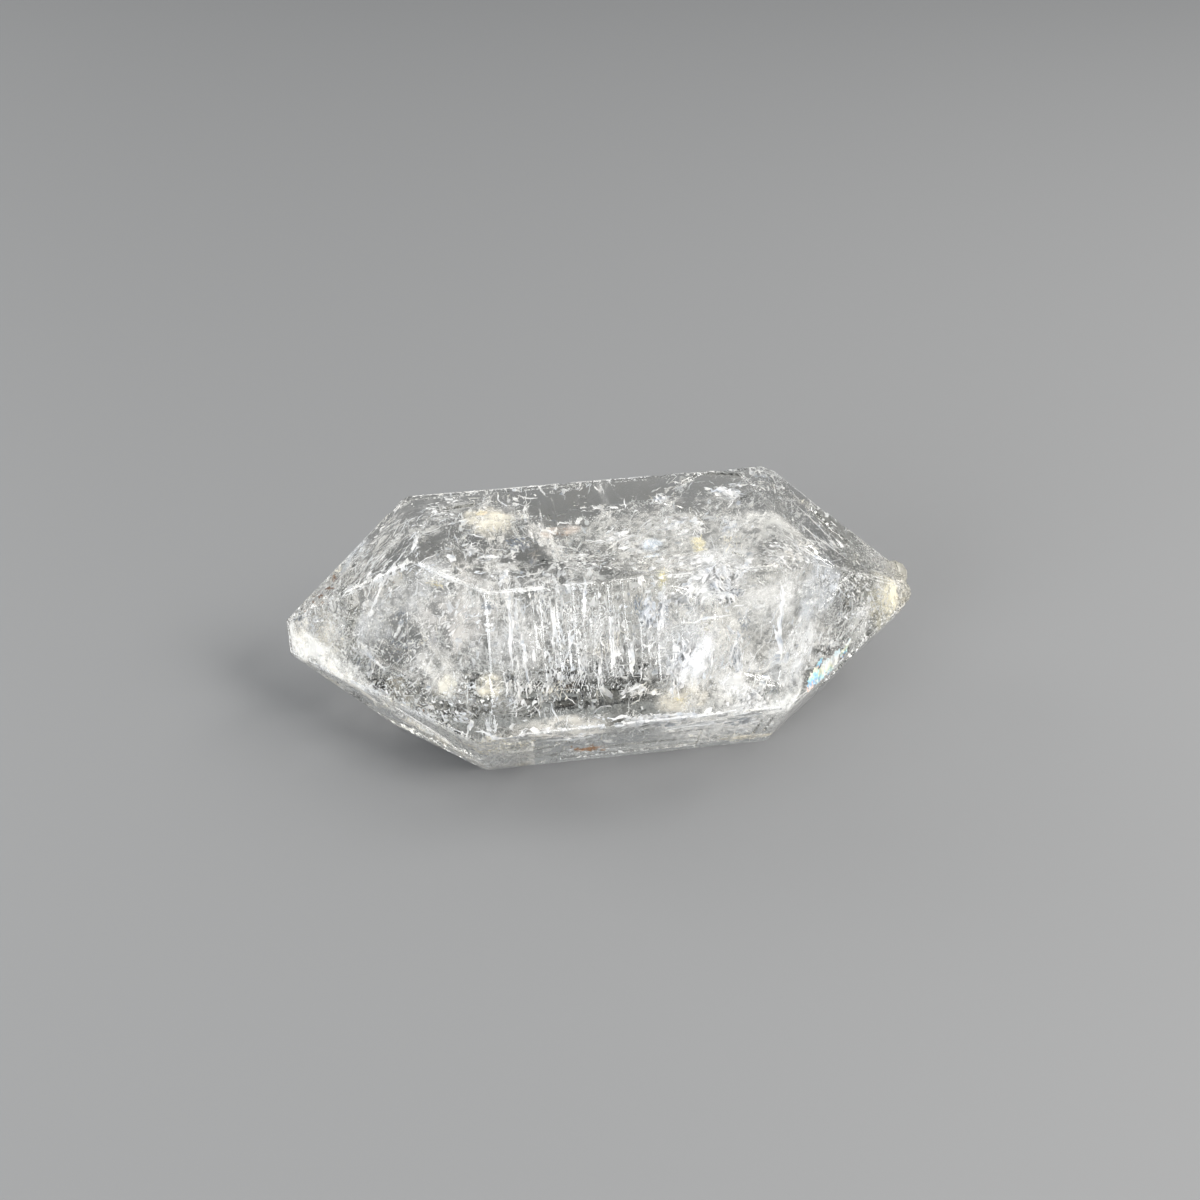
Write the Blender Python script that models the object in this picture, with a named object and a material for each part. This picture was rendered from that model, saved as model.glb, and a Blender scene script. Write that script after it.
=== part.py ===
"""Herkimer diamond: a double-ended quartz crystal, 66 mm long, lying on one of its prism faces.

Metres, +Z up. The long axis runs along X with the worn, knobbed end at +X, the origin is
under the middle of the crystal, and the face it rests on lies at Z = 0.
"""

import math
import random

import bmesh
import bpy
from mathutils import Matrix, Vector

MM = 0.001

AXIS_HEIGHT = 10.8 * MM
BLANK_SIDE = 90.0 * MM

# Each prism face: azimuth round the long axis in degrees (0 looks to -Y, 90 looks up),
# and its distance from the axis.
PRISM_FACES = {
    "top": (91.5, 10.8 * MM),
    "front_upper": (29.5, 12.8 * MM),
    "front_lower": (-29.5, 13.7 * MM),
    "base": (-90.0, AXIS_HEIGHT),
    "back_lower": (-150.5, 12.76 * MM),
    "back_upper": (150.0, 13.6 * MM),
}

# Each end face: its end (-1 or 1), azimuth, the lean of its normal out of the plane across
# the axis (quartz has 38.2 degrees, and growth bends it a little), and how far from the
# middle it meets the axis.
END_FACES = {
    "left_top": (-1, 90.0, 37.2, 33.0 * MM),
    "left_front_upper": (-1, 30.7, 38.8, 28.3 * MM),
    "left_front_lower": (-1, -30.2, 37.0, 32.2 * MM),
    "left_base": (-1, -90.0, 38.2, 37.0 * MM),
    "left_back_lower": (-1, -149.0, 38.4, 37.8 * MM),
    "left_back_upper": (-1, 149.7, 37.2, 37.9 * MM),
    "right_top": (1, 87.8, 36.7, 31.4 * MM),
    "right_front_upper": (1, 29.8, 38.2, 30.8 * MM),
    "right_front_lower": (1, -30.7, 36.0, 34.1 * MM),
    "right_base": (1, -90.0, 38.0, 35.0 * MM),
    "right_back_lower": (1, -150.5, 38.2, 37.4 * MM),
    "right_back_upper": (1, 149.8, 37.5, 37.2 * MM),
}

# Where the worn right end stops short of its point.
RIGHT_STUB = 32.3 * MM

# The knobs of the worn right end: centre and radii in millimetres, and turn in degrees.
END_KNOBS = (
    ((31.4, 2.6, 10.6), (1.45, 1.7, 1.5), 20.0),
    ((31.4, 1.0, 9.4), (1.5, 1.5, 1.6), 65.0),
    ((30.9, 3.7, 9.7), (1.4, 1.4, 1.5), 110.0),
)

# How deep each edge between flat faces is blunted, least and most.
EDGE_WEAR = (0.05 * MM, 0.12 * MM)
SHORTEST_WORN_EDGE = 1.0 * MM

# Growth ledges: face, place along X, place across the face, half length, half width, depth,
# corners, turn in degrees.
LEDGES = (
    ("front_lower", 0.6, -0.6, 9.9, 3.9, 0.30, 4, 0.0),
    ("front_lower", -9.5, 3.2, 4.2, 2.4, 0.22, 6, 8.0),
    ("front_upper", -9.8, -4.6, 3.4, 1.6, 0.20, 5, 12.0),
    ("front_upper", 9.5, 4.1, 4.6, 1.7, 0.18, 6, -6.0),
    ("front_upper", 13.0, -2.5, 2.6, 3.6, 0.22, 5, 20.0),
    ("top", -14.0, 2.5, 4.4, 4.4, 0.20, 6, 10.0),
    ("top", 6.5, -6.6, 6.2, 1.9, 0.22, 5, 4.0),
    ("top", 12.5, 6.0, 4.0, 3.0, 0.20, 6, -15.0),
    ("left_front_upper", -21.5, 1.5, 3.9, 3.2, 0.24, 3, 30.0),
    ("left_front_lower", -20.0, -1.2, 4.8, 1.5, 0.24, 5, -8.0),
    ("left_top", -25.0, -3.4, 3.2, 2.0, 0.20, 5, 35.0),
    ("right_top", 20.5, -4.2, 3.4, 2.0, 0.26, 5, -28.0),
    ("right_top", 24.0, 4.6, 3.8, 1.4, 0.24, 4, -35.0),
    ("right_front_upper", 21.5, 2.4, 3.8, 2.8, 0.24, 3, 210.0),
    ("right_front_lower", 22.5, 0.8, 3.4, 2.2, 0.20, 5, 15.0),
    ("back_upper", -6.0, 1.8, 7.2, 2.7, 0.26, 6, 5.0),
    ("back_upper", 12.0, -3.4, 4.4, 2.0, 0.20, 5, -12.0),
    ("back_lower", 2.0, -1.4, 8.2, 2.6, 0.24, 6, -4.0),
    ("back_lower", -13.0, 3.0, 3.4, 2.2, 0.20, 5, 14.0),
    ("left_back_upper", -24.0, 1.0, 3.6, 3.0, 0.26, 3, 45.0),
    ("left_back_lower", -22.5, -1.5, 3.6, 2.0, 0.20, 5, -20.0),
    ("right_back_upper", 24.0, -1.8, 3.8, 2.8, 0.26, 3, 200.0),
    ("right_back_lower", 21.0, 1.5, 3.4, 2.2, 0.22, 5, 24.0),
)

# Conchoidal chips out of the edges: the two faces that meet, place along X, radius, bite.
CHIPS = (
    ("top", "back_upper", -3.2, 1.9, 0.30),
    ("top", "back_upper", 6.8, 2.6, 0.34),
    ("top", "back_upper", 13.4, 1.5, 0.36),
    ("top", "front_upper", -6.4, 2.4, 0.30),
    ("top", "front_upper", 3.1, 3.4, 0.36),
    ("top", "front_upper", 8.4, 1.6, 0.26),
    ("front_upper", "front_lower", -11.4, 2.2, 0.50),
    ("front_upper", "front_lower", -1.5, 2.8, 0.32),
    ("front_upper", "front_lower", 9.9, 2.0, 0.40),
    ("back_upper", "back_lower", -9.0, 2.6, 0.42),
    ("back_upper", "back_lower", 7.5, 2.0, 0.34),
    ("left_top", "left_back_upper", -21.0, 1.8, 0.32),
    ("left_top", "left_front_upper", -27.0, 2.2, 0.34),
    ("left_front_upper", "left_front_lower", -22.0, 2.4, 0.30),
    ("right_top", "right_front_upper", 22.0, 2.2, 0.34),
    ("right_top", "right_back_upper", 26.5, 1.6, 0.30),
    ("right_front_upper", "right_front_lower", 24.5, 2.6, 0.40),
    ("right_back_upper", "right_back_lower", 25.0, 2.2, 0.36),
    ("left_back_upper", "left_back_lower", -25.0, 2.0, 0.34),
)

# Three-sided etch pits, scattered in patches: face, patch middle along X and across,
# patch reach, number of pits, smallest and largest pit radius.
PIT_PATCHES = (
    ("left_top", -28.6, 1.4, 2.6, 9, 0.28, 0.62),
    ("left_front_upper", -28.2, 3.0, 2.4, 7, 0.26, 0.60),
    ("front_upper", -7.0, -3.0, 4.4, 8, 0.26, 0.58),
    ("front_upper", 9.0, 0.2, 4.2, 7, 0.26, 0.62),
    ("top", -8.0, -4.0, 4.6, 7, 0.28, 0.66),
    ("top", 3.0, 3.4, 5.0, 7, 0.28, 0.62),
    ("right_front_upper", 24.6, -2.2, 3.4, 7, 0.26, 0.56),
    ("right_top", 25.0, 0.6, 3.0, 6, 0.26, 0.54),
    ("back_upper", 3.0, -2.4, 5.4, 8, 0.28, 0.66),
    ("back_lower", -5.0, 2.6, 5.0, 7, 0.28, 0.60),
    ("left_back_upper", -27.0, -1.0, 2.8, 6, 0.26, 0.56),
    ("right_back_lower", 24.0, -1.5, 2.8, 6, 0.26, 0.54),
)
PIT_DEPTH_SHARE = 0.55
PIT_ROOM = 1.25

# Growth grooves across the prism faces: face, first and last place along X, number,
# middle across the face, and mean length.
GROOVE_BANDS = (
    ("front_upper", -8.2, 5.4, 19, 0.6, 8.4),
    ("front_lower", 11.4, 14.4, 3, 1.4, 4.6),
    ("top", -11.0, -2.0, 8, 3.0, 5.0),
    ("back_upper", -12.0, 8.0, 15, 1.0, 7.0),
    ("back_lower", -8.0, 11.0, 13, 0.5, 6.0),
)
GROOVE_WIDTH = 0.34 * MM
GROOVE_DEPTH = 0.15 * MM

CRYSTAL_COLOUR = (0.86, 0.86, 0.83, 1.0)
CRYSTAL_ROUGHNESS = 0.12
QUARTZ_IOR = 1.544

CUTTER_REACH = 3.0 * MM


def clear_scene():
    """An empty scene to build in."""
    for item in list(bpy.data.objects):
        bpy.data.objects.remove(item)


def new_collection(name):
    """A collection linked to the scene."""
    made = bpy.data.collections.new(name)
    bpy.context.scene.collection.children.link(made)
    return made


def quartz_material():
    """Clear quartz, a little milky and off-white."""
    made = bpy.data.materials.new("clear_quartz")
    made.use_nodes = True
    shader = made.node_tree.nodes["Principled BSDF"]
    shader.inputs["Base Color"].default_value = CRYSTAL_COLOUR
    shader.inputs["Roughness"].default_value = CRYSTAL_ROUGHNESS
    shader.inputs["Metallic"].default_value = 0.0
    shader.inputs["IOR"].default_value = QUARTZ_IOR
    shader.inputs["Transmission Weight"].default_value = 1.0
    return made


def object_from(bm, name, collection):
    """An object holding the bmesh."""
    mesh = bpy.data.meshes.new(name)
    bm.to_mesh(mesh)
    bm.free()
    made = bpy.data.objects.new(name, mesh)
    collection.objects.link(made)
    return made


def outward(azimuth):
    """The direction away from the long axis at an azimuth in degrees."""
    turn = math.radians(azimuth)
    return Vector((0.0, -math.cos(turn), math.sin(turn)))


def face_directions(name):
    """A face's outward normal and its direction along the crystal."""
    if name in PRISM_FACES:
        azimuth, _distance = PRISM_FACES[name]
        return outward(azimuth), Vector((1.0, 0.0, 0.0))
    side, azimuth, lean, _reach = END_FACES[name]
    tilt = math.radians(lean)
    away = outward(azimuth)
    tipward = Vector((side, 0.0, 0.0))
    normal = away * math.cos(tilt) + tipward * math.sin(tilt)
    along = tipward * math.cos(tilt) - away * math.sin(tilt)
    return normal, along * side


def face_point(name, x):
    """The point on a face's middle line at a place along X."""
    centre = Vector((x, 0.0, AXIS_HEIGHT))
    if name in PRISM_FACES:
        azimuth, distance = PRISM_FACES[name]
        return centre + outward(azimuth) * distance
    side, azimuth, lean, reach = END_FACES[name]
    return centre + outward(azimuth) * math.tan(math.radians(lean)) * (reach - side * x)


def face_seat(name, x, across):
    """A matrix that sits on a face: its X runs along the crystal, its Z points out."""
    normal, along = face_directions(name)
    sideways = normal.cross(along)
    place = face_point(name, x) + sideways * across
    return Matrix.Translation(place) @ Matrix((along, sideways, normal)).transposed().to_4x4()


def edge_point(first, second, x):
    """The point where two faces meet at a place along X, and the direction out of the edge."""
    normal_a, _ = face_directions(first)
    normal_b, _ = face_directions(second)
    rows = Matrix((normal_a, normal_b, Vector((1.0, 0.0, 0.0))))
    goals = Vector((normal_a.dot(face_point(first, x)), normal_b.dot(face_point(second, x)), x))
    return rows.inverted() @ goals, (normal_a + normal_b).normalized()


def cut_flat(bm, point, normal):
    """Slice away what lies beyond a plane and close the cut with one flat face."""
    geometry = bm.verts[:] + bm.edges[:] + bm.faces[:]
    cut = bmesh.ops.bisect_plane(
        bm, geom=geometry, dist=1e-7, plane_co=point, plane_no=normal, clear_outer=True
    )
    rim = [item for item in cut["geom_cut"] if isinstance(item, bmesh.types.BMEdge)]
    if rim:
        bmesh.ops.contextual_create(bm, geom=rim)


def crystal_body():
    """The crystal's flat faces, worn stubs and slightly blunted edges."""
    bm = bmesh.new()
    bmesh.ops.create_cube(bm, size=BLANK_SIDE)
    bmesh.ops.translate(bm, vec=(0.0, 0.0, AXIS_HEIGHT), verts=bm.verts)
    for name in list(PRISM_FACES) + list(END_FACES):
        normal, _along = face_directions(name)
        cut_flat(bm, face_point(name, 0.0), normal)
    cut_flat(bm, Vector((RIGHT_STUB, 0.0, 0.0)), Vector((1.0, 0.0, 0.0)))
    blunt_edges(bm)
    bmesh.ops.recalc_face_normals(bm, faces=bm.faces)
    return bm


def blunt_edges(bm):
    """Slice a narrow worn flat along every sharp edge."""
    draw = random.Random(3)
    bmesh.ops.recalc_face_normals(bm, faces=bm.faces)
    edges = []
    for edge in bm.edges:
        out = sum((face.normal for face in edge.link_faces), Vector()).normalized()
        if edge.calc_length() > SHORTEST_WORN_EDGE:
            edges.append(((edge.verts[0].co + edge.verts[1].co) / 2, out))
    for middle, out in edges:
        cut_flat(bm, middle - out * draw.uniform(*EDGE_WEAR), out)


def end_knob_solids(bm):
    """The rounded knobs of the worn right end, as low faceted lumps."""
    for centre, radii, turn in END_KNOBS:
        place = Matrix.Translation(Vector(centre) * MM)
        size = Matrix.Diagonal((*[radius * MM for radius in radii], 1.0))
        spin = Matrix.Rotation(math.radians(turn), 4, "X")
        bmesh.ops.create_icosphere(bm, subdivisions=2, radius=1.0, matrix=place @ size @ spin)


def ledge_solids(bm):
    """Shallow many-cornered slabs that lower a patch of a face by a growth step."""
    for name, x, across, half_length, half_width, depth, corners, turn in LEDGES:
        size = Matrix.Diagonal((half_length * MM, half_width * MM, 1.0, 1.0))
        spin = Matrix.Rotation(math.radians(turn), 4, "Z")
        lift = Matrix.Translation((0.0, 0.0, CUTTER_REACH / 2 - depth * MM))
        square_up = Matrix.Rotation(math.pi / corners, 4, "Z")
        bmesh.ops.create_cone(
            bm,
            cap_ends=True,
            segments=corners,
            radius1=1.0,
            radius2=1.0,
            depth=CUTTER_REACH,
            matrix=face_seat(name, x * MM, across * MM) @ spin @ lift @ size @ square_up,
        )


def chip_solids(bm):
    """Ball-like scoops that bite a little into an edge."""
    for first, second, x, radius, bite in CHIPS:
        place, out = edge_point(first, second, x * MM)
        centre = place + out * (radius - bite) * MM
        spin = Matrix.Rotation(x, 4, "Z") @ Matrix.Rotation(radius, 4, "X")
        bmesh.ops.create_icosphere(
            bm, subdivisions=2, radius=radius * MM, matrix=Matrix.Translation(centre) @ spin
        )


def pit_solids(bm):
    """Small three-sided pits that point into the faces, none touching another."""
    draw = random.Random(11)
    for name, x, across, reach, number, smallest, largest in PIT_PATCHES:
        placed = []
        tries = 0
        while len(placed) < number and tries < number * 12:
            tries += 1
            radius = draw.uniform(smallest, largest)
            spot = Vector((draw.uniform(-reach, reach), draw.uniform(-reach, reach) * 0.6))
            turn = draw.uniform(-0.2, 0.2)
            if any((spot - other).length < (radius + size) * PIT_ROOM for other, size in placed):
                continue
            placed.append((spot, radius))
            seat = face_seat(name, (x + spot.x) * MM, (across + spot.y) * MM)
            depth = radius * PIT_DEPTH_SHARE * MM
            bmesh.ops.create_cone(
                bm,
                cap_ends=True,
                segments=3,
                radius1=0.0,
                radius2=radius * MM * 2,
                depth=depth * 2,
                matrix=seat @ Matrix.Rotation(turn, 4, "Z"),
            )


def groove_solids(bm):
    """Slender bars, set on edge, that score growth grooves across the prism faces."""
    draw = random.Random(29)
    for name, first, last, number, across, mean_length in GROOVE_BANDS:
        for step in range(number):
            x = first + (last - first) * (step + draw.uniform(-0.22, 0.22)) / (number - 1)
            length = mean_length * draw.uniform(0.45, 1.15)
            shift = across + draw.uniform(-1.2, 1.2)
            lean = Matrix.Rotation(draw.uniform(-0.03, 0.03), 4, "Z")
            width = GROOVE_WIDTH * draw.uniform(0.7, 1.3)
            lift = Matrix.Translation((0.0, 0.0, width / 2 - GROOVE_DEPTH * draw.uniform(0.6, 1.0)))
            on_edge = Matrix.Rotation(math.pi / 4, 4, "Y")
            size = Matrix.Diagonal((width / math.sqrt(2.0), length * MM, width / math.sqrt(2.0), 1.0))
            seat = face_seat(name, x * MM, shift * MM)
            bmesh.ops.create_cube(bm, size=1.0, matrix=seat @ lean @ lift @ on_edge @ size)


def add_boolean(target, solids_function, name, operation, cutters):
    """Join or cut the target with the solids of one function, kept in the cutter collection."""
    bm = bmesh.new()
    solids_function(bm)
    bmesh.ops.recalc_face_normals(bm, faces=bm.faces)
    tool = object_from(bm, name, cutters)
    tool.hide_render = True
    tool.display_type = "WIRE"
    modifier = target.modifiers.new(name, "BOOLEAN")
    modifier.operation = operation
    modifier.solver = "EXACT"
    modifier.use_self = True
    modifier.object = tool


def main():
    clear_scene()
    crystal_parts = new_collection("herkimer_diamond")
    cutters = new_collection("crystal_cutters")
    crystal = object_from(crystal_body(), "crystal", crystal_parts)
    crystal.data.materials.append(quartz_material())
    add_boolean(crystal, end_knob_solids, "end_knobs", "UNION", cutters)
    add_boolean(crystal, ledge_solids, "growth_ledges", "DIFFERENCE", cutters)
    add_boolean(crystal, groove_solids, "growth_grooves", "DIFFERENCE", cutters)
    add_boolean(crystal, pit_solids, "etch_pits", "DIFFERENCE", cutters)
    add_boolean(crystal, chip_solids, "edge_chips", "DIFFERENCE", cutters)


main()
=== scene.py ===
import bpy
import bmesh
import math
import random
from mathutils import Matrix, Vector, noise
from mathutils.bvhtree import BVHTree


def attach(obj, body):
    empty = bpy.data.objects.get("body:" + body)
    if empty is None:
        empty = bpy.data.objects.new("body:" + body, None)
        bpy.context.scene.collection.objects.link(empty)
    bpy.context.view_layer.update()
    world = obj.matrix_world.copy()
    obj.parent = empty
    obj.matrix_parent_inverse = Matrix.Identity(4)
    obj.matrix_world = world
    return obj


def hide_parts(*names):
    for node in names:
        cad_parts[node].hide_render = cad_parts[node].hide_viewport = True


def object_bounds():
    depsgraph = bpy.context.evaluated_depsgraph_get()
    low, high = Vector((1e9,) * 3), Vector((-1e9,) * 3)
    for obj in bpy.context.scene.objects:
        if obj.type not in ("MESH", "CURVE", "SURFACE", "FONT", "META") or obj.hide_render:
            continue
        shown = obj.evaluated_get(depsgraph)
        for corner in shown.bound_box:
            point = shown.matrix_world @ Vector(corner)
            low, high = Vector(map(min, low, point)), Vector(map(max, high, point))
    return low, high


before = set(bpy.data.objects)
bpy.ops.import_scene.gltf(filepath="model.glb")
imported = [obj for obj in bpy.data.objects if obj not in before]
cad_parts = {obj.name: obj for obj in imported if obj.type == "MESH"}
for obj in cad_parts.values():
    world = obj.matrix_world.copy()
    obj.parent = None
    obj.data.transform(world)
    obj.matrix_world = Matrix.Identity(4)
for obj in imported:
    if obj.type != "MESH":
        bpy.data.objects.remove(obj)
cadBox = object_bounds()
scene = bpy.context.scene
mm = 0.001
quartzIor = 1.544
batchSize = 60  # small shapes gathered before they join a big mesh
alongCrystal = Vector((1, 0, 0))
girdleTurns = (30, 90, 150)  # degrees round the long axis, square to the prism faces
knobSpan = (30.2, 31.6)  # mm along X, over which the knobbed end begins


# Small helpers

def ripple(x, y, z):
    # smooth noise, about -1 to 1
    return noise.noise(Vector((x, y, z)))


def clamp(value, low=0):
    return min(1, max(low, value))


def pick(span, share):
    # the value a share of the way through a span
    return span[0] + (span[1] - span[0]) * share


def linkNew(name, bm, material, smooth=True):
    mesh = bpy.data.meshes.new(name)
    bm.to_mesh(mesh)
    bm.free()
    mesh.materials.append(material)
    for polygon in mesh.polygons:
        polygon.use_smooth = smooth
    made = bpy.data.objects.new(name, mesh)
    bpy.context.scene.collection.objects.link(made)
    return made


def inside(name, bm, material, smooth=True, wall=None):
    # a piece inside the crystal: it rides with it and takes its finish
    made = linkNew(name, bm, material, smooth)
    if wall:
        solid = made.modifiers.new("wall", "SOLIDIFY")
        solid.thickness = wall
        solid.offset = 0
    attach(made, "root")
    print(name, len(made.data.polygons), "faces")
    return made


def everything(bm):
    return bm.verts[:] + bm.edges[:] + bm.faces[:]

def pourInto(whole, batch):
    # adds a small bmesh to a big one, where many operators would be slow; cuts up its discs
    bmesh.ops.poke(batch, faces=[face for face in batch.faces if len(face.verts) > 4])
    mesh = bpy.data.meshes.new("batch")
    batch.to_mesh(mesh)
    batch.free()
    whole.from_mesh(mesh)
    bpy.data.meshes.remove(mesh)
    return bmesh.new()


def turnTo(normal, along):
    # a rotation that points Z along normal and X as near to along as it can
    x = along - normal * along.dot(normal)
    if x.length < 1e-4:
        x = normal.orthogonal()
    x.normalize()
    y = normal.cross(x)
    return Matrix((x, y, normal)).transposed().to_4x4()


def randomDirection(draw):
    while True:
        tried = Vector((draw.uniform(-1, 1), draw.uniform(-1, 1), draw.uniform(-1, 1)))
        if 0.1 < tried.length < 1:
            return tried.normalized()


def lieAlong(point, along, draw):
    # a placing at a point with X along a direction, rolled about it at random
    return Matrix.Translation(point) @ turnTo(along.cross(randomDirection(draw)).normalized(), along)


def addGrain(batch, draw, spot, size, top, tall):
    # a three-sided grain, turned at random; top and tall are shares of its size (mm)
    turn = randomDirection(draw).to_track_quat("Z", "Y").to_matrix().to_4x4()
    bmesh.ops.create_cone(
        batch,
        cap_ends=True,
        segments=3,
        radius1=size * mm,
        radius2=size * top * mm,
        depth=size * tall * mm,
        matrix=Matrix.Translation(spot) @ turn,
    )


def principled(name, **values):
    material = bpy.data.materials.new(name)
    material.use_nodes = True
    shader = material.node_tree.nodes["Principled BSDF"]
    for socket, value in values.items():
        shader.inputs[socket.replace("_", " ")].default_value = value
    return material, material.node_tree, shader


def addNode(tree, kind, x, y, **values):
    node = tree.nodes.new("ShaderNode" + kind)
    node.location = (x, y)
    for name, value in values.items():
        if hasattr(node, name):
            setattr(node, name, value)
        else:
            node.inputs[name.replace("_", " ")].default_value = value
    return node


def addRamp(tree, x, y, stops):
    ramp = addNode(tree, "ValToRGB", x, y)
    elements = ramp.color_ramp.elements
    while len(elements) < len(stops):
        elements.new(0.5)
    for element, (place, colour) in zip(elements, stops):
        element.position = place
        element.color = (*colour, 1)
    return ramp


def addRange(tree, x, y, low, high, least, most):
    return addNode(
        tree, "MapRange", x, y, From_Min=low, From_Max=high, To_Min=least, To_Max=most
    )


def wire(source, output, target, socket):
    source.id_data.links.new(source.outputs[output], target.inputs[socket])


def warmTint(name, roughness, pale, warm, grey, scale=260):
    # a finish: white that drifts to cream and grey from place to place
    material, tree, shader = principled(name, Roughness=roughness)
    where = addNode(tree, "TexCoord", -1000, 0)
    drift = addNode(tree, "TexNoise", -750, 0, Scale=scale, Detail=2)
    ramp = addRamp(tree, -400, 0, ((0.34, grey), (0.48, pale), (0.6, pale), (0.72, warm)))
    wire(where, "Object", drift, "Vector")
    wire(drift, "Fac", ramp, "Fac")
    wire(ramp, "Color", shader, "Base Color")
    return material


def begin(look):
    # the seeded draw, the whole piece and the first batch of it
    return random.Random(look["seed"]), bmesh.new(), bmesh.new()


def addFlecks(name, whole, tint, look):
    # a piece of many flecks, with the finish and the wall that its look gives
    inside(name, whole, warmTint(tint, *look["finish"]), smooth=False, wall=look.get("thickness"))


def thinOut(material, look, faded=True):
    # makes a material ragged and see-through, by noise and by its vertices' fade
    tree = material.node_tree
    where = addNode(tree, "TexCoord", -1300, -400)
    ragged = addNode(tree, "TexNoise", -900, -400, **look["noise"])
    wire(where, "Object", ragged, "Vector")
    alpha = addRange(tree, -600, -400, *look["alpha"])
    wire(ragged, "Fac", alpha, "Value")
    last, output = alpha, "Result"
    if faded:
        fade = addNode(tree, "Attribute", -900, -700, attribute_name="fade")
        last, output = addNode(tree, "Math", -300, -400, operation="MULTIPLY"), "Value"
        wire(alpha, "Result", last, 0)
        wire(fade, "Fac", last, 1)
    wire(last, output, tree.nodes["Principled BSDF"], "Alpha")


# Camera, floor and light

cameraLook = {
    "place": Vector((-12.38, -95.39, 88.73)) * mm,
    "turnRight": 6.941,  # degrees
    "lookDown": 38.25,
    "roll": -1.066,
    "lens": 36.0,
    "sensor": 36.0,
    "clip": (1 * mm, 10),
    "picture": 1200,  # pixels along each side
}


def cameraTurn(look):
    turn = Matrix.Rotation(math.radians(-look["turnRight"]), 4, "Z")
    tip = Matrix.Rotation(math.radians(90 - look["lookDown"]), 4, "X")
    return turn @ tip @ Matrix.Rotation(math.radians(look["roll"]), 4, "Z")


def addCamera(look):
    data = bpy.data.cameras.new("camera")
    data.lens = look["lens"]
    data.sensor_width = look["sensor"]
    data.clip_start, data.clip_end = look["clip"]
    camera = bpy.data.objects.new("camera", data)
    scene.collection.objects.link(camera)
    camera.matrix_world = Matrix.Translation(look["place"]) @ cameraTurn(look)
    scene.camera = camera


floorLook = {
    "radius": 3.0,
    "below": 0.02 * mm,  # under the crystal, so that the two don't share a plane
    "colour": (0.235, 0.237, 0.24, 1),
    "roughness": 0.65,
}


def addFloor(look):
    bm = bmesh.new()
    bmesh.ops.create_circle(bm, cap_ends=True, radius=look["radius"], segments=96)
    bmesh.ops.translate(bm, vec=(0, 0, -look["below"]), verts=bm.verts)
    material = principled("pale_floor", Roughness=look["roughness"], Base_Color=look["colour"])[0]
    linkNew("floor", bm, material, smooth=False)


lightLook = {
    "horizon": (0.72, 0.74, 0.77),
    "zenith": (0.95, 0.98, 1.0),
    "worldStrength": 0.48,
    "aim": 10 * mm,  # height that the lamps point at
    "areas": (  # place, size, watts, colour
        ((0.34, -0.2, 0.34), 0.2, 2.5, (1.0, 0.98, 0.95)),
        ((0.44, 0.14, 0.5), 0.24, 1.3, (1.0, 0.98, 0.95)),
        ((-0.41, -0.34, 0.19), 0.3, 2.6, (0.96, 0.98, 1.0)),
        ((-0.46, 0.34, 0.24), 0.3, 1.2, (1.0, 0.99, 0.97)),
    ),
}


def addLight(look):
    world = bpy.data.worlds.new("soft_studio")
    scene.world = world
    world.use_nodes = True
    tree = world.node_tree
    back = tree.nodes["Background"]
    where = addNode(tree, "TexCoord", -900, 0)
    parts = addNode(tree, "SeparateXYZ", -700, 0)
    sky = addRamp(tree, -500, 0, ((0.0, look["horizon"]), (0.75, look["zenith"])))
    wire(where, "Generated", parts, "Vector")
    wire(parts, "Z", sky, "Fac")
    wire(sky, "Color", back, "Color")
    back.inputs["Strength"].default_value = look["worldStrength"]
    target = Vector((0, 0, look["aim"]))
    for number, (place, size, watts, colour) in enumerate(look["areas"]):
        data = bpy.data.lights.new(f"soft_box_{number}", "AREA")
        data.shape = "SQUARE"
        data.size = size
        data.energy = watts
        data.color = colour
        lamp = bpy.data.objects.new(data.name, data)
        scene.collection.objects.link(lamp)
        lamp.location = place
        lamp.rotation_euler = (target - Vector(place)).to_track_quat("-Z", "Y").to_euler()


# The crystal's flat faces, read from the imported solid

def cadCrystal():
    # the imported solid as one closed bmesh, its flat faces whole
    bm = bmesh.new()
    bm.from_mesh(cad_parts["crystal"].data)
    bmesh.ops.remove_doubles(bm, verts=bm.verts, dist=1e-6)
    bmesh.ops.dissolve_limit(bm, angle_limit=0.003, verts=bm.verts[:], edges=bm.edges[:])
    bm.normal_update()
    return bm


def findFlats(smallest=7e-6):
    # [normal, distance] of each outer flat face, the outermost of each direction
    bm = cadCrystal()
    found = []
    for face in sorted(bm.faces, key=lambda f: -f.calc_area()):
        if face.calc_area() < smallest:
            break
        reach = max(face.normal.dot(vertex.co) for vertex in face.verts)
        for flat in found:
            if flat[0].dot(face.normal) > 0.995:
                flat[1] = max(flat[1], reach)
                break
        else:
            found.append([face.normal.copy(), reach])
    bm.free()
    return found


flats = findFlats()


def edgeSharpness(point, around=0.45 * mm):
    # degrees between the outer flats that meet near a point; 0 at a groove or a pit
    near = [normal for normal, reach in flats if abs(reach - normal.dot(point)) < around]
    angles = [math.degrees(first.angle(second)) for first in near for second in near]
    return max(angles, default=0)


print("flat faces found:", len(flats))


def makeSkin():
    bm = cadCrystal()
    tree = BVHTree.FromBMesh(bm)
    bm.free()
    return tree


skin = makeSkin()
wornFrom = 26 * mm  # past this the ends are worn off inside their flats


def depthUnderSkin(point):
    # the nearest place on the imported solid, its normal, and how deep the point lies under it
    nearest, normal, _index, _distance = skin.find_nearest(point)
    return nearest, normal, (nearest - point).dot(normal)


def roomAt(point):
    # how deep a point lies under the flat faces, and near the ends under the worn skin;
    # ledges, grooves, pits and chips in the middle aren't felt
    room = min(reach - normal.dot(point) for normal, reach in flats)
    if room > 0 and abs(point.x) > wornFrom:
        room = min(room, depthUnderSkin(point)[2])
    return room


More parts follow.
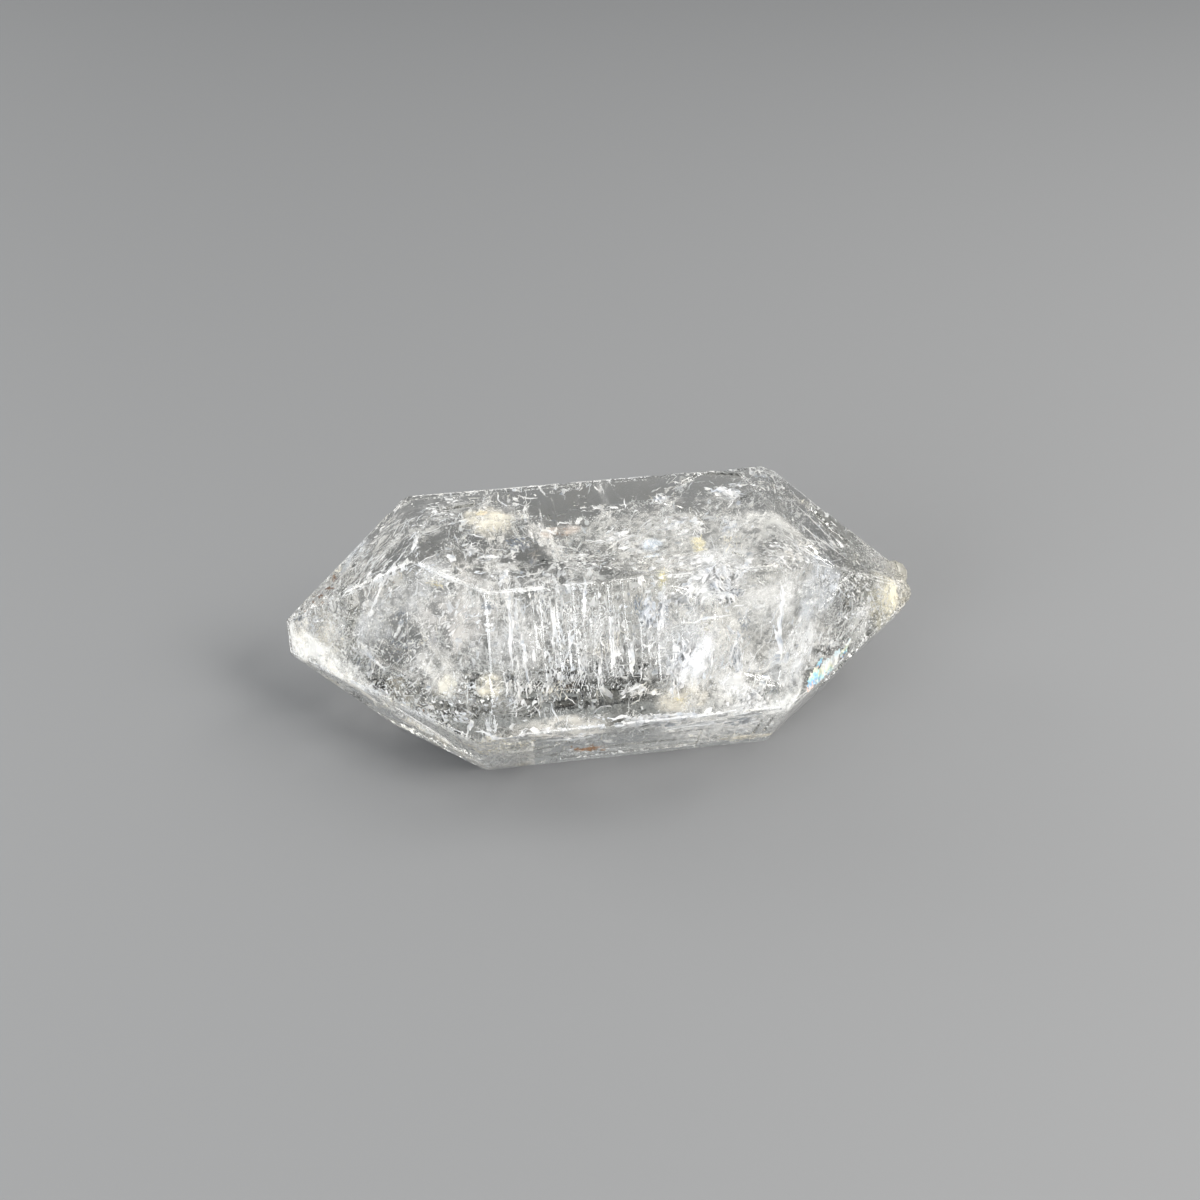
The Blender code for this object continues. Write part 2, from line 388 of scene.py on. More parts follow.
def keepInside(point, inset):
    for _round in range(4):  # a push from one flat can break another one's rule
        moved = False
        for normal, reach in flats:
            over = normal.dot(point) - (reach - inset)
            if over > 1e-6:
                point = point - normal * over
                moved = True
        if not moved:
            break
    if abs(point.x) > wornFrom:
        nearest, normal, deep = depthUnderSkin(point)
        if deep < inset:
            point = nearest - normal * inset
    return point


def randomInside(draw, inset):
    while True:
        point = Vector((draw.uniform(-33, 33), draw.uniform(-16, 16), draw.uniform(0, 22))) * mm
        if roomAt(point) > inset:
            return point


viewTurn = cameraTurn(cameraLook).to_3x3()
pictureRight = viewTurn @ Vector((1, 0, 0))
pictureUp = viewTurn @ Vector((0, 1, 0))


def inPicture(slope):
    # the direction that runs at a slope (radians) in the picture
    return pictureRight * math.cos(slope) + pictureUp * math.sin(slope)


def underPixel(x, y, depth):
    # the point that a pixel of the 1200 x 1200 picture shows at a depth (mm) in the crystal
    half = cameraLook["picture"] / 2
    ray = (viewTurn @ Vector(((x - half) / half / 2, (half - y) / half / 2, -1))).normalized()
    start = cameraLook["place"]
    enter, face = max(
        ((reach - normal.dot(start)) / normal.dot(ray), index)
        for index, (normal, reach) in enumerate(flats)
        if normal.dot(ray) < 0
    )
    point = start + ray * enter
    normal = flats[face][0]
    cosine = -normal.dot(ray)
    slow = 1 / quartzIor
    bent = ray * slow + normal * (slow * cosine - math.sqrt(1 - slow * slow * (1 - cosine * cosine)))
    return point + bent * (depth * mm)


# Crystal surface

shellLook = {
    "seed": 5,
    "alongStep": 0.42 * mm,
    "acrossStep": 1.1 * mm,
    "striaDepth": 0.035 * mm,
    "terraceDepth": 0.05 * mm,
    "waveDepth": 0.02 * mm,
    "sharpAngle": 22,  # degrees
    "baseBelow": 0.05 * mm,  # the face it rests on stays flat
    "patchRough": 0.1,
    "knobRough": 0.25,
    "absorbColour": (0.68, 0.69, 0.66, 1),
    "absorbDensity": 34.0,
}


def sliceGrid(bm, look):
    low, high = cadBox
    draw = random.Random(look["seed"])
    x = low.x + look["alongStep"]
    while x < high.x:
        bmesh.ops.bisect_plane(
            bm, geom=everything(bm), dist=1e-6, plane_co=(x, 0, 0), plane_no=alongCrystal
        )
        x += look["alongStep"] * draw.uniform(0.7, 1.3)
    middle = (low + high) / 2
    for turn in girdleTurns:
        across = Matrix.Rotation(math.radians(turn), 3, "X") @ Vector((0, 1, 0))
        place = -17 * mm
        while place < 17 * mm:
            bmesh.ops.bisect_plane(
                bm, geom=everything(bm), dist=1e-6, plane_co=middle + across * place, plane_no=across
            )
            place += look["acrossStep"] * draw.uniform(0.8, 1.2)


def growthDepth(point, normal, look):
    # how far the surface lies below its flat at a point
    around = math.atan2(normal.z, -normal.y)
    patch = ripple(point.x * 90, point.y * 110, point.z * 110 + around * 3)
    depth = look["waveDepth"] * (0.5 + 0.5 * noise.noise(point * 160 + normal * 5))
    if abs(normal.x) < 0.25:
        line = ripple(point.x * 1500, around * 7, 0.3) * 0.6
        line += ripple(point.x * 520, around * 7, 8.1) * 0.4
        depth += look["striaDepth"] * (0.5 + line) * clamp(0.35 + patch * 1.6)
    else:
        level = math.floor((0.5 + patch * 0.8) * 5) / 5
        depth += look["terraceDepth"] * clamp(level)
    return max(0, depth)


def makeShell(look):
    bm = cadCrystal()
    sliceGrid(bm, look)
    bmesh.ops.triangulate(bm, faces=bm.faces[:])
    bm.normal_update()
    moves = [
        (vertex, vertex.normal * growthDepth(vertex.co, vertex.normal, look))
        for vertex in bm.verts
        if vertex.co.z > look["baseBelow"]
    ]
    for vertex, move in moves:
        vertex.co -= move
    return bm


def quartzMaterial(look):
    material, tree, shader = principled("clear_quartz_looks", IOR=quartzIor, Transmission_Weight=1.0)
    where = addNode(tree, "TexCoord", -1500, 0)
    patches = addNode(tree, "TexNoise", -1200, 100, Scale=150, Detail=4, Roughness=0.62)
    wire(where, "Object", patches, "Vector")
    frost = addRange(tree, -600, 100, 0.52, 0.76, 0.0, look["patchRough"])
    wire(patches, "Fac", frost, "Value")
    # the knobbed end is rougher and creamier than the rest
    parts = addNode(tree, "SeparateXYZ", -1200, 400)
    wire(where, "Object", parts, "Vector")
    knob = addRange(tree, -900, 400, knobSpan[0] * mm, knobSpan[1] * mm, 0.0, look["knobRough"])
    wire(parts, "X", knob, "Value")
    rough = addNode(tree, "Math", -300, 100, operation="ADD")
    wire(frost, "Result", rough, 0)
    wire(knob, "Result", rough, 1)
    wire(rough, "Value", shader, "Roughness")
    worn = addNode(tree, "Math", -600, 400, operation="MULTIPLY_ADD")
    worn.inputs[1].default_value = 1.6
    wire(knob, "Result", worn, 0)
    wire(patches, "Fac", worn, 2)
    tint = addRamp(tree, -300, 500, (
        (0.45, (0.985, 0.99, 0.985)),
        (0.75, (0.97, 0.95, 0.9)),
        (1.0, (0.9, 0.86, 0.72)),
    ))
    wire(worn, "Value", tint, "Fac")
    wire(tint, "Color", shader, "Base Color")
    grain = addNode(tree, "TexNoise", -900, -250, Scale=1400, Detail=3, Roughness=0.6)
    wire(where, "Object", grain, "Vector")
    bump = addNode(tree, "Bump", -300, -250, Strength=0.12, Distance=0.03 * mm)
    wire(grain, "Fac", bump, "Height")
    wire(bump, "Normal", shader, "Normal")
    absorb = addNode(tree, "VolumeAbsorption", 0, -300, Color=look["absorbColour"])
    absorb.inputs["Density"].default_value = look["absorbDensity"]
    wire(absorb, "Volume", tree.nodes["Material Output"], "Volume")
    return material


def addShell(look):
    shell = linkNew("crystal_surface", makeShell(look), quartzMaterial(look))
    shell.data.set_sharp_from_angle(angle=math.radians(look["sharpAngle"]))
    shell.visible_shadow = False  # light reaches the flaws inside without caustic noise
    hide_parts("crystal")
    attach(shell, "root")
    print("crystal surface:", len(shell.data.polygons), "triangles")


# How the flaws lie: along the growth of each end, across the prism in between

leftSlope = Vector((14, 5.6, 11)).normalized()
rightSlope = Vector((12, 5.0, 7)).normalized()
upFront = Vector((0, 0.5, 0.87)).normalized()
flowLook = {
    "prism": (-16, 3),  # mm along X, from the left end's growth to the right one's
    "prismUp": 0.6,  # share that stands across the prism
    "rightSloped": 0.75,  # share that follows the right end's slope
    "stray": 0.55,
}


def flowAt(point, draw, look=flowLook):
    x = point.x / mm
    if x < look["prism"][0]:
        flow = leftSlope
    elif x < look["prism"][1]:
        flow = upFront if draw.random() < look["prismUp"] else alongCrystal
    else:
        flow = rightSlope if draw.random() < look["rightSloped"] else upFront
    return (flow + randomDirection(draw) * look["stray"]).normalized()


windows = (  # pixel x, y, radius (mm) of the clearer places
    (528, 552, 1.7), (577, 698, 1.7), (614, 700, 1.4), (655, 730, 1.2), (705, 727, 1.2),
    (548, 505, 1.9), (580, 503, 2.1), (612, 498, 2.0), (640, 488, 2.0), (705, 530, 1.6),
    (690, 505, 1.6), (735, 585, 1.2), (760, 640, 1.1), (748, 620, 1.2), (400, 655, 0.9),
    (394, 618, 0.9), (392, 560, 1.2), (425, 505, 1.6), (800, 600, 1.4), (640, 610, 1.2),
    (475, 575, 1.2), (660, 545, 1.6),
)
windowDepths = (0.2, 14.0)  # mm under the surface, from the near to the far end of each
windowClear = 0.93  # share of the flecks that a window leaves out
windowLines = [
    (*(underPixel(x, y, depth) for depth in windowDepths), radius * mm) for x, y, radius in windows
]


def isClear(point, draw):
    for near, far, radius in windowLines:
        t = clamp((point - near).dot(far - near) / (far - near).length_squared)
        if (point - near.lerp(far, t)).length < radius and draw.random() < windowClear:
            return True
    return False


# White dust: the tiny cavities that make the milky clouds

dustLook = {
    "seed": 31,
    "clouds": 300,
    "room": 0.7 * mm,  # over the middle of a cloud
    "middle": (-25 * mm, 27 * mm),  # every fifth cloud lies past this: the ends are milkier
    "each": (40, 240),  # specks in a cloud
    "reach": (0.8, 4.2),  # mm
    "size": (0.035, 0.13),  # mm
    "inset": 0.3 * mm,
    "finish": (0.6, (0.95, 0.95, 0.94), (0.95, 0.9, 0.8), (0.8, 0.82, 0.85)),
}


def addDust(look):
    draw, whole, batch = begin(look)
    made = 0
    for cloud in range(look["clouds"]):
        centre = randomInside(draw, look["room"])
        if cloud % 5 == 0:
            while look["middle"][0] < centre.x < look["middle"][1]:
                centre = randomInside(draw, look["room"])
        if isClear(centre, draw):
            continue
        place = lieAlong(centre, flowAt(centre, draw), draw)
        reach = draw.uniform(*look["reach"]) * mm
        for _speck in range(draw.randint(*look["each"])):
            u = draw.gauss(0, 0.5) * reach
            v = draw.gauss(0, 0.3) * reach
            lift = ripple(u * 420, v * 420, made * 0.01) * 0.5 * mm
            spot = place @ Vector((u, v, lift + draw.gauss(0, 0.05) * mm))
            if roomAt(spot) < look["inset"] or isClear(spot, draw):
                continue
            size = pick(look["size"], draw.random() ** 3)
            addGrain(batch, draw, spot, size, top=0, tall=0.8)
            made += 1
            if made % batchSize == 0:
                batch = pourInto(whole, batch)
    pourInto(whole, batch).free()
    addFlecks("milky_dust", whole, "white_dust", look)
    print("specks of dust:", made)


# Wisps: thin bent white strokes, the edges of healed cracks

wispLook = {
    "seed": 47,
    "number": 2300,
    "room": 0.35 * mm,
    "swarm": (-0.5, 0.25),  # most of them lie together in swarms
    "length": (0.4, 2.6),  # mm
    "width": (0.06, 0.26),  # mm
    "inset": 0.25 * mm,
    "thickness": 0.03 * mm,
    "finish": (0.35, (0.92, 0.92, 0.92), (0.92, 0.88, 0.8), (0.78, 0.81, 0.86)),
}


def bendStrip(batch, place, length, width, seed, inset, cells=6):
    strip = bmesh.ops.create_grid(batch, x_segments=cells, y_segments=1, size=0.5)
    curl = 0.15 * length
    for vertex in strip["verts"]:
        u, v = vertex.co.x * 2, vertex.co.y * 2
        taper = 0.12 + 0.88 * (1 - u * u) ** 0.7 if abs(u) < 1 else 0.12
        side = ripple(u * 1.1, seed, 0.5) * curl
        side += ripple(u * 6, seed, 4.5) * curl * 0.22
        lift = ripple(u * 1.1, 7.7, seed) * curl
        ragged = 1 + 1.1 * ripple(u * 4, v * 3, seed)
        local = Vector((u * length / 2, side + v * width / 2 * taper * ragged, lift))
        vertex.co = keepInside(place @ local, inset)


def addWisps(look):
    draw, whole, batch = begin(look)
    for number in range(look["number"]):
        centre = randomInside(draw, look["room"])
        swarm = noise.noise(centre * 210) + 0.6 * noise.noise(centre * 520)
        if swarm < draw.uniform(*look["swarm"]) or isClear(centre, draw):
            continue
        place = lieAlong(centre, flowAt(centre, draw), draw)
        length = pick(look["length"], draw.random() ** 2)
        width = pick(look["width"], draw.random() ** 1.5)
        bendStrip(batch, place, length * mm, width * mm, number * 0.61, look["inset"])
        if number % batchSize == 0:
            batch = pourInto(whole, batch)
    pourInto(whole, batch).free()
    addFlecks("white_wisps", whole, "white_wisp", look)


# Flakes: small ragged cracks that shine like silver; the dark grey in their finish is painted shade

flakeLook = {
    "seed": 83,
    "number": 2200,
    "room": 0.5 * mm,
    "swarm": (-0.4, 0.35),
    "size": (0.1, 0.7),  # mm
    "inset": 0.3 * mm,
    "thickness": 0.025 * mm,
    # the grey end of this finish is painted shade: dark clumps that stand for dark seen through the crystal
    "finish": (0.22, (0.96, 0.96, 0.96), (0.95, 0.93, 0.88), (0.46, 0.49, 0.54), 650),
}


def addFlake(batch, place, size, seed, inset):
    disc = bmesh.ops.create_circle(batch, cap_ends=True, radius=1, segments=9)
    for vertex in disc["verts"]:
        u, v = vertex.co.x, vertex.co.y
        ragged = 1 + 1.1 * ripple(u * 2.2, v * 2.2, seed)
        lift = 0.5 * ripple(u * 1.5, v * 1.5, seed * 2.5)
        local = Vector((u * ragged, v * ragged * 0.5, lift)) * size
        vertex.co = keepInside(place @ local, inset)


def addFlakes(look):
    draw, whole, batch = begin(look)
    for number in range(look["number"]):
        centre = randomInside(draw, look["room"])
        swarm = noise.noise(centre * 160 + Vector((3, 1, 7)))
        if swarm < draw.uniform(*look["swarm"]) or isClear(centre, draw):
            continue
        along = flowAt(centre, draw)
        size = pick(look["size"], draw.random() ** 2.5) * mm
        addFlake(batch, lieAlong(centre, along, draw), size, number * 0.37, look["inset"])
        if number % batchSize == 0:
            batch = pourInto(whole, batch)
    pourInto(whole, batch).free()
    # their dark grey patches are painted shade
    addFlecks("silver_flakes_painted_shade", whole, "silver_flake_painted_shade", look)


# Flaws that the picture shows, each as a cluster of small flakes and strokes; the grey clusters are painted
# shade, not flaws
# x, y, half width and half height in pixels, slant in degrees, depth (mm), how many, length (mm)

whiteClusters = (
    (318, 585, 20, 24, 46, 0.8, 130, 0.6), (352, 545, 22, 26, 48, 1.0, 170, 0.7),
    (385, 520, 20, 14, 40, 1.2, 110, 0.6), (420, 660, 26, 24, 30, 1.4, 130, 0.5),
    (395, 690, 30, 14, -30, 1.0, 120, 0.5), (855, 620, 22, 22, 40, 0.9, 150, 0.5),
    (540, 589, 80, 1.5, 2, 0.5, 70, 0.5), (460, 593, 30, 1.5, -4, 0.5, 26, 0.4),
    (420, 703, 66, 2.0, -33, 0.5, 60, 0.5), (640, 718, 90, 2.0, 8, 0.5, 60, 0.5),
    (700, 640, 30, 40, 80, 1.4, 180, 0.6), (650, 625, 14, 34, 84, 1.2, 150, 0.6),
    (720, 575, 26, 18, 35, 1.3, 150, 0.9), (752, 700, 14, 12, 60, 0.9, 90, 0.8),
    (735, 655, 8, 20, 92, 0.9, 60, 0.9), (640, 545, 30, 14, 25, 1.5, 110, 0.7),
    (780, 560, 26, 16, -20, 1.3, 110, 0.7), (471, 551, 6, 6, 60, 1.4, 60, 0.6),
    (489, 557, 10, 3, -5, 1.5, 36, 0.5), (514, 550, 3, 9, 75, 1.3, 36, 0.6),
    (503, 576, 7, 14, 80, 1.8, 60, 0.5), (540, 600, 10, 18, 88, 1.0, 80, 0.5),
    (590, 640, 58, 50, 88, 1.2, 900, 0.5), (575, 650, 36, 40, 88, 0.8, 260, 0.7),
    (590, 560, 50, 10, 5, 1.6, 110, 0.6), (618, 536, 16, 9, 35, 1.5, 90, 0.9),
    (672, 525, 14, 7, 33, 1.3, 50, 1.2), (661, 498, 9, 6, 10, 1.5, 50, 0.6),
    (600, 507, 26, 3, -4, 1.8, 40, 0.8), (698, 525, 5, 16, 105, 1.4, 60, 0.8),
    (724, 491, 16, 7, -32, 1.4, 90, 0.9), (729, 529, 9, 13, 70, 1.6, 110, 0.6),
    (690, 560, 40, 10, 30, 1.7, 190, 0.9), (724, 590, 14, 15, 40, 1.5, 120, 1.0),
    (688, 596, 30, 14, 25, 1.8, 150, 0.9), (680, 640, 36, 34, 50, 2.0, 360, 0.7),
    (675, 668, 8, 22, 88, 1.2, 90, 1.2), (648, 614, 5, 17, 84, 1.2, 70, 1.0),
    (663, 608, 3, 24, 86, 1.2, 60, 0.9), (616, 644, 8, 26, 86, 1.3, 90, 0.9),
    (640, 690, 22, 7, 30, 1.6, 80, 0.9), (750, 695, 18, 12, 60, 1.6, 120, 0.7),
    (746, 720, 20, 6, 3, 1.0, 90, 1.1), (660, 722, 60, 4, 8, 0.9, 90, 1.4),
    (560, 738, 50, 5, 6, 0.9, 90, 1.2), (812, 592, 30, 22, 20, 2.0, 260, 0.5),
    (825, 577, 8, 6, 30, 1.2, 60, 0.5), (800, 553, 26, 7, -20, 1.0, 80, 1.0),
    (820, 545, 36, 5, -36, 0.8, 90, 1.2), (850, 585, 20, 14, -30, 1.2, 110, 0.6),
    (868, 608, 10, 5, 20, 1.0, 50, 0.5), (834, 642, 14, 7, 42, 1.0, 80, 0.7),
    (800, 640, 22, 26, 70, 2.0, 150, 0.6), (366, 650, 16, 5, -38, 1.2, 70, 0.9),
    (345, 640, 26, 34, 45, 1.6, 190, 0.5), (372, 570, 26, 22, 48, 1.4, 170, 1.0),
    (416, 542, 4, 14, 80, 1.0, 50, 0.5), (390, 591, 3, 4, 60, 1.0, 14, 0.5),
    (450, 610, 40, 30, 40, 2.2, 190, 0.6), (440, 575, 30, 8, 10, 1.2, 90, 0.6),
    (470, 690, 34, 12, 20, 1.6, 150, 0.6), (488, 729, 4, 9, 100, 0.8, 50, 0.5),
    (430, 715, 40, 8, -32, 1.2, 120, 0.8), (360, 690, 40, 6, -36, 1.0, 120, 0.8),
    (310, 655, 16, 10, -30, 0.8, 120, 0.4), (300, 640, 12, 22, 70, 0.9, 200, 0.35),
    (305, 625, 14, 20, 50, 0.5, 160, 0.3), (296, 650, 8, 12, -40, 0.3, 120, 0.3),
    (885, 600, 14, 16, 60, 0.8, 140, 0.4), (450, 500, 10, 4, 20, 1.0, 40, 0.5),
    (435, 510, 16, 8, 10, 1.5, 50, 0.7), (520, 690, 14, 30, 85, 1.2, 110, 0.8),
    (560, 680, 30, 14, 80, 1.6, 90, 0.6),
)
creamClusters = (
    (488, 516, 36, 26, 70, 1.0, 90, 0.26), (486, 686, 10, 8, 60, 1.0, 36, 0.25),
    (447, 685, 10, 9, 40, 1.0, 40, 0.25), (434, 584, 7, 4, -15, 0.8, 50, 0.4),
    (748, 737, 30, 5, 3, 0.5, 120, 0.6), (500, 745, 50, 5, -8, 0.6, 80, 0.8),
    (380, 705, 40, 5, -35, 0.6, 120, 0.6), (318, 640, 18, 26, 45, 0.8, 160, 0.4),
    (300, 630, 12, 18, 60, 0.5, 120, 0.35), (895, 600, 12, 20, 60, 0.8, 170, 0.5),
    (682, 702, 14, 8, 10, 1.2, 60, 0.4), (729, 540, 10, 12, 60, 1.2, 50, 0.5),
    (560, 690, 20, 8, 70, 1.5, 40, 0.4),
)
yellowClusters = (
    (698, 543, 4, 6, 110, 0.9, 34, 0.4), (663, 578, 3, 9, 88, 0.9, 30, 0.4),
    (482, 511, 5, 3, 20, 0.7, 30, 0.35), (437, 585, 4, 2, -15, 0.7, 14, 0.35),
    (681, 700, 6, 3, 10, 0.9, 16, 0.3),
)
rustClusters = (
    (334, 578, 2.0, 3, 60, 0.24, 26, 0.42), (329, 588, 4.0, 1.6, 30, 0.24, 26, 0.42),
    (320, 596, 3.5, 2, 45, 0.24, 24, 0.4), (313, 602, 2.4, 1.5, 30, 0.24, 16, 0.35),
    (323, 602, 1.4, 1.4, 60, 0.24, 10, 0.3), (304, 611, 2.0, 3.0, 50, 0.24, 8, 0.3),
    (394, 582, 1.0, 1.5, 60, 0.2, 4, 0.25), (423, 710, 1.8, 1.6, -20, 0.2, 9, 0.28),
    (590, 751, 15, 2.2, 5, 0.35, 46, 0.5), (559, 531, 10, 6, 10, 1.2, 26, 0.25),
)
# dark grey flecks: painted shade, put where the crystal only looks dark
paintedShadeClusters = (
    (299, 616, 5, 9, 50, 0.15, 44, 0.5), (340, 632, 1.5, 1, -20, 0.3, 4, 0.3),
    (318, 656, 4, 2, -38, 0.3, 8, 0.3), (520, 545, 14, 6, -40, 1.0, 70, 0.7),
    (534, 558, 7, 8, 60, 1.0, 50, 0.6), (487, 605, 9, 3, 5, 1.4, 26, 0.4),
    (434, 640, 6, 5, 50, 1.8, 24, 0.4), (398, 615, 9, 10, 50, 2.0, 44, 0.5),
    (400, 646, 16, 10, 20, 2.2, 60, 0.5), (634, 635, 2, 4, 120, 0.5, 9, 0.4),
    (612, 609, 2, 3, 60, 0.9, 6, 0.3), (563, 551, 24, 4, 0, 1.4, 30, 0.3),
    (560, 520, 20, 8, 10, 1.5, 16, 0.3), (735, 590, 8, 5, 20, 1.6, 24, 0.5),
    (746, 626, 5, 14, 80, 1.6, 30, 0.6), (690, 608, 4, 3, 30, 1.4, 14, 0.4),
    (535, 598, 10, 8, 80, 1.6, 26, 0.4), (640, 606, 6, 16, 85, 1.8, 34, 0.6),
)
clusterLook = {
    "inset": 0.085 * mm,
    "thickness": 0.03 * mm,
    "strokes": (0.22, 0.55),  # share of strokes in a level and in a steep cluster
    "spread": 0.5,
    "turn": 0.28,  # radians
    "stray": 0.38,
    "finishes": {
        "bright_crack": (0.3, (0.95, 0.95, 0.95), (0.94, 0.91, 0.85), (0.84, 0.87, 0.92)),
        "cream_cloud": (0.6, (0.9, 0.86, 0.76), (0.88, 0.81, 0.66), (0.92, 0.9, 0.85)),
        "yellow_stain": (0.6, (0.8, 0.71, 0.44), (0.78, 0.58, 0.34), (0.85, 0.8, 0.58)),
        "rust_stain": (0.7, (0.25, 0.14, 0.07), (0.34, 0.17, 0.08), (0.18, 0.12, 0.08)),
        # painted shade: the dark grey of the flecks that stand for dark places
        "painted_shade_crack": (0.25, (0.33, 0.35, 0.38), (0.36, 0.34, 0.31), (0.24, 0.28, 0.34)),
    },
}


def makeCluster(draw, whole, cluster, look):
    x, y, halfWide, halfHigh, slant, depth, count, length = cluster
    slope = math.radians(slant)
    strokes = look["strokes"][abs(math.sin(slope)) > 0.9]
    wave = draw.uniform(0, 100)
    batch = bmesh.new()
    for number in range(count):
        across = draw.gauss(0, look["spread"])
        high = draw.gauss(0, look["spread"])
        deep = max(0.1, depth + draw.gauss(0, 0.25) * depth)
        middle = underPixel(x + across * halfWide, y + high * halfHigh, deep)
        if roomAt(middle) < look["inset"]:
            continue
        along = inPicture(slope + draw.gauss(0, look["turn"]))
        along = (along + randomDirection(draw) * look["stray"]).normalized()
        place = lieAlong(middle, along, draw)
        long = length * (0.25 + 1.3 * draw.random() ** 2) * mm
        if draw.random() < strokes:
            wide = max(0.05 * mm, long * 0.12)
            bendStrip(batch, place, long * 1.4, wide, wave + number * 0.7, look["inset"], cells=5)
        else:
            addFlake(batch, place, long * 0.34, wave + number * 0.37, look["inset"])
    pourInto(whole, batch).free()


def addClusters(name, clusters, seed, material, look):
    draw = random.Random(seed)
    whole = bmesh.new()
    for cluster in clusters:
        makeCluster(draw, whole, cluster, look)
    inside(name, whole, material, smooth=False, wall=look["thickness"])


plateSpots = (  # pixel x, y, long and short half in pixels, slant, depth (mm)
    (737, 652, 19, 3.5, 97, 1.0), (781, 622, 38, 2.8, 91, 0.9), (511, 630, 40, 1.8, 92, 0.8),
    (517, 614, 14, 2.2, 88, 0.9), (526, 658, 24, 2.0, 100, 0.9), (648, 614, 17, 4.0, 84, 0.9),
    (663, 608, 24, 2.4, 94, 0.8), (613, 645, 28, 2.0, 96, 0.9), (675, 668, 24, 4.5, 86, 1.0),
    (684, 662, 20, 3.0, 82, 1.2), (672, 525, 16, 2.6, 32, 1.1), (618, 536, 16, 3.0, 36, 1.2),
    (698, 524, 14, 4.5, 110, 1.0), (728, 529, 15, 7.0, 68, 1.2), (661, 499, 8, 5.0, 10, 1.1),
    (725, 491, 17, 4.0, -32, 1.0), (722, 580, 13, 8.0, 50, 1.1), (728, 597, 12, 6.0, 20, 1.1),
    (700, 572, 22, 3.0, 32, 1.2), (745, 570, 16, 3.0, 60, 1.2), (750, 700, 12, 7.0, 50, 1.1),
    (746, 716, 18, 2.6, 8, 0.7), (748, 724, 16, 2.2, 3, 0.6), (690, 716, 44, 1.6, 8, 0.6),
    (655, 724, 30, 2.0, 6, 0.6), (470, 551, 6, 4.0, 60, 1.0), (490, 557, 10, 1.8, -5, 1.0),
    (515, 549, 9, 2.6, 70, 1.0), (503, 577, 14, 2.2, 82, 1.0), (366, 650, 15, 2.2, -38, 0.9),
    (378, 664, 10, 2.0, -30, 0.9), (380, 590, 46, 1.3, 50, 0.7), (362, 575, 34, 1.0, 50, 0.7),
    (415, 543, 13, 2.0, 82, 0.6), (489, 730, 9, 2.4, 110, 0.6), (808, 550, 26, 1.6, -14, 0.8),
    (795, 555, 14, 1.6, 30, 0.8), (822, 540, 34, 1.2, -37, 0.5), (812, 520, 30, 1.0, -39, 0.5),
    (825, 577, 7, 4.0, 20, 0.9), (560, 742, 44, 1.4, 7, 0.5), (500, 738, 30, 1.6, -12, 0.6),
    (706, 619, 22, 1.2, 4, 0.9), (600, 667, 20, 1.6, 92, 0.9), (570, 640, 26, 1.4, 88, 0.9),
    (585, 600, 18, 1.4, 90, 0.9), (553, 625, 24, 1.4, 92, 0.9), (632, 655, 20, 1.8, 84, 1.0),
)
plateLook = {
    "seed": 15,
    "inset": 0.15 * mm,
    "thickness": 0.03 * mm,
    "finish": (0.22, (0.96, 0.96, 0.96), (0.95, 0.94, 0.9), (0.72, 0.75, 0.8), 900),
}
pixelSize = mm / 9.6  # about what a pixel shows at the crystal


def addPlates(look):
    # the largest bright cracks, each a jagged sheet that tilts away into the crystal
    draw = random.Random(look["seed"])
    whole = bmesh.new()
    for number, (x, y, halfLong, halfShort, slant, depth) in enumerate(plateSpots):
        batch = bmesh.new()
        along = (inPicture(math.radians(slant)) + randomDirection(draw) * 0.15).normalized()
        towards = viewTurn @ Vector((draw.uniform(-1, 1), draw.uniform(-1, 1), 1.0))
        normal = along.cross(towards).normalized().cross(along).normalized()
        place = Matrix.Translation(underPixel(x, y, depth)) @ turnTo(normal, along)
        sheet = bmesh.ops.create_grid(batch, x_segments=22, y_segments=3, size=1)
        for vertex in sheet["verts"]:
            u, v = vertex.co.x, vertex.co.y
            taper = max(0.05, 1 - abs(u) ** 2.5)
            jag = 1 + 1.2 * ripple(u * 5, v * 2, number * 3.3)
            bend = ripple(u * 1.4, number * 1.9, 0.2) * halfLong * 0.16
            bend += ripple(u * 7, number * 1.9, 5.2) * halfShort * 0.7
            lift = ripple(u * 2.5, v * 1.5, number * 2.7) * halfShort * 1.2
            local = Vector((u * halfLong, bend + v * halfShort * taper * jag, lift)) * pixelSize
            vertex.co = keepInside(place @ local, look["inset"])
        pourInto(whole, batch).free()
    addFlecks("bright_sheets", whole, "bright_sheet", look)


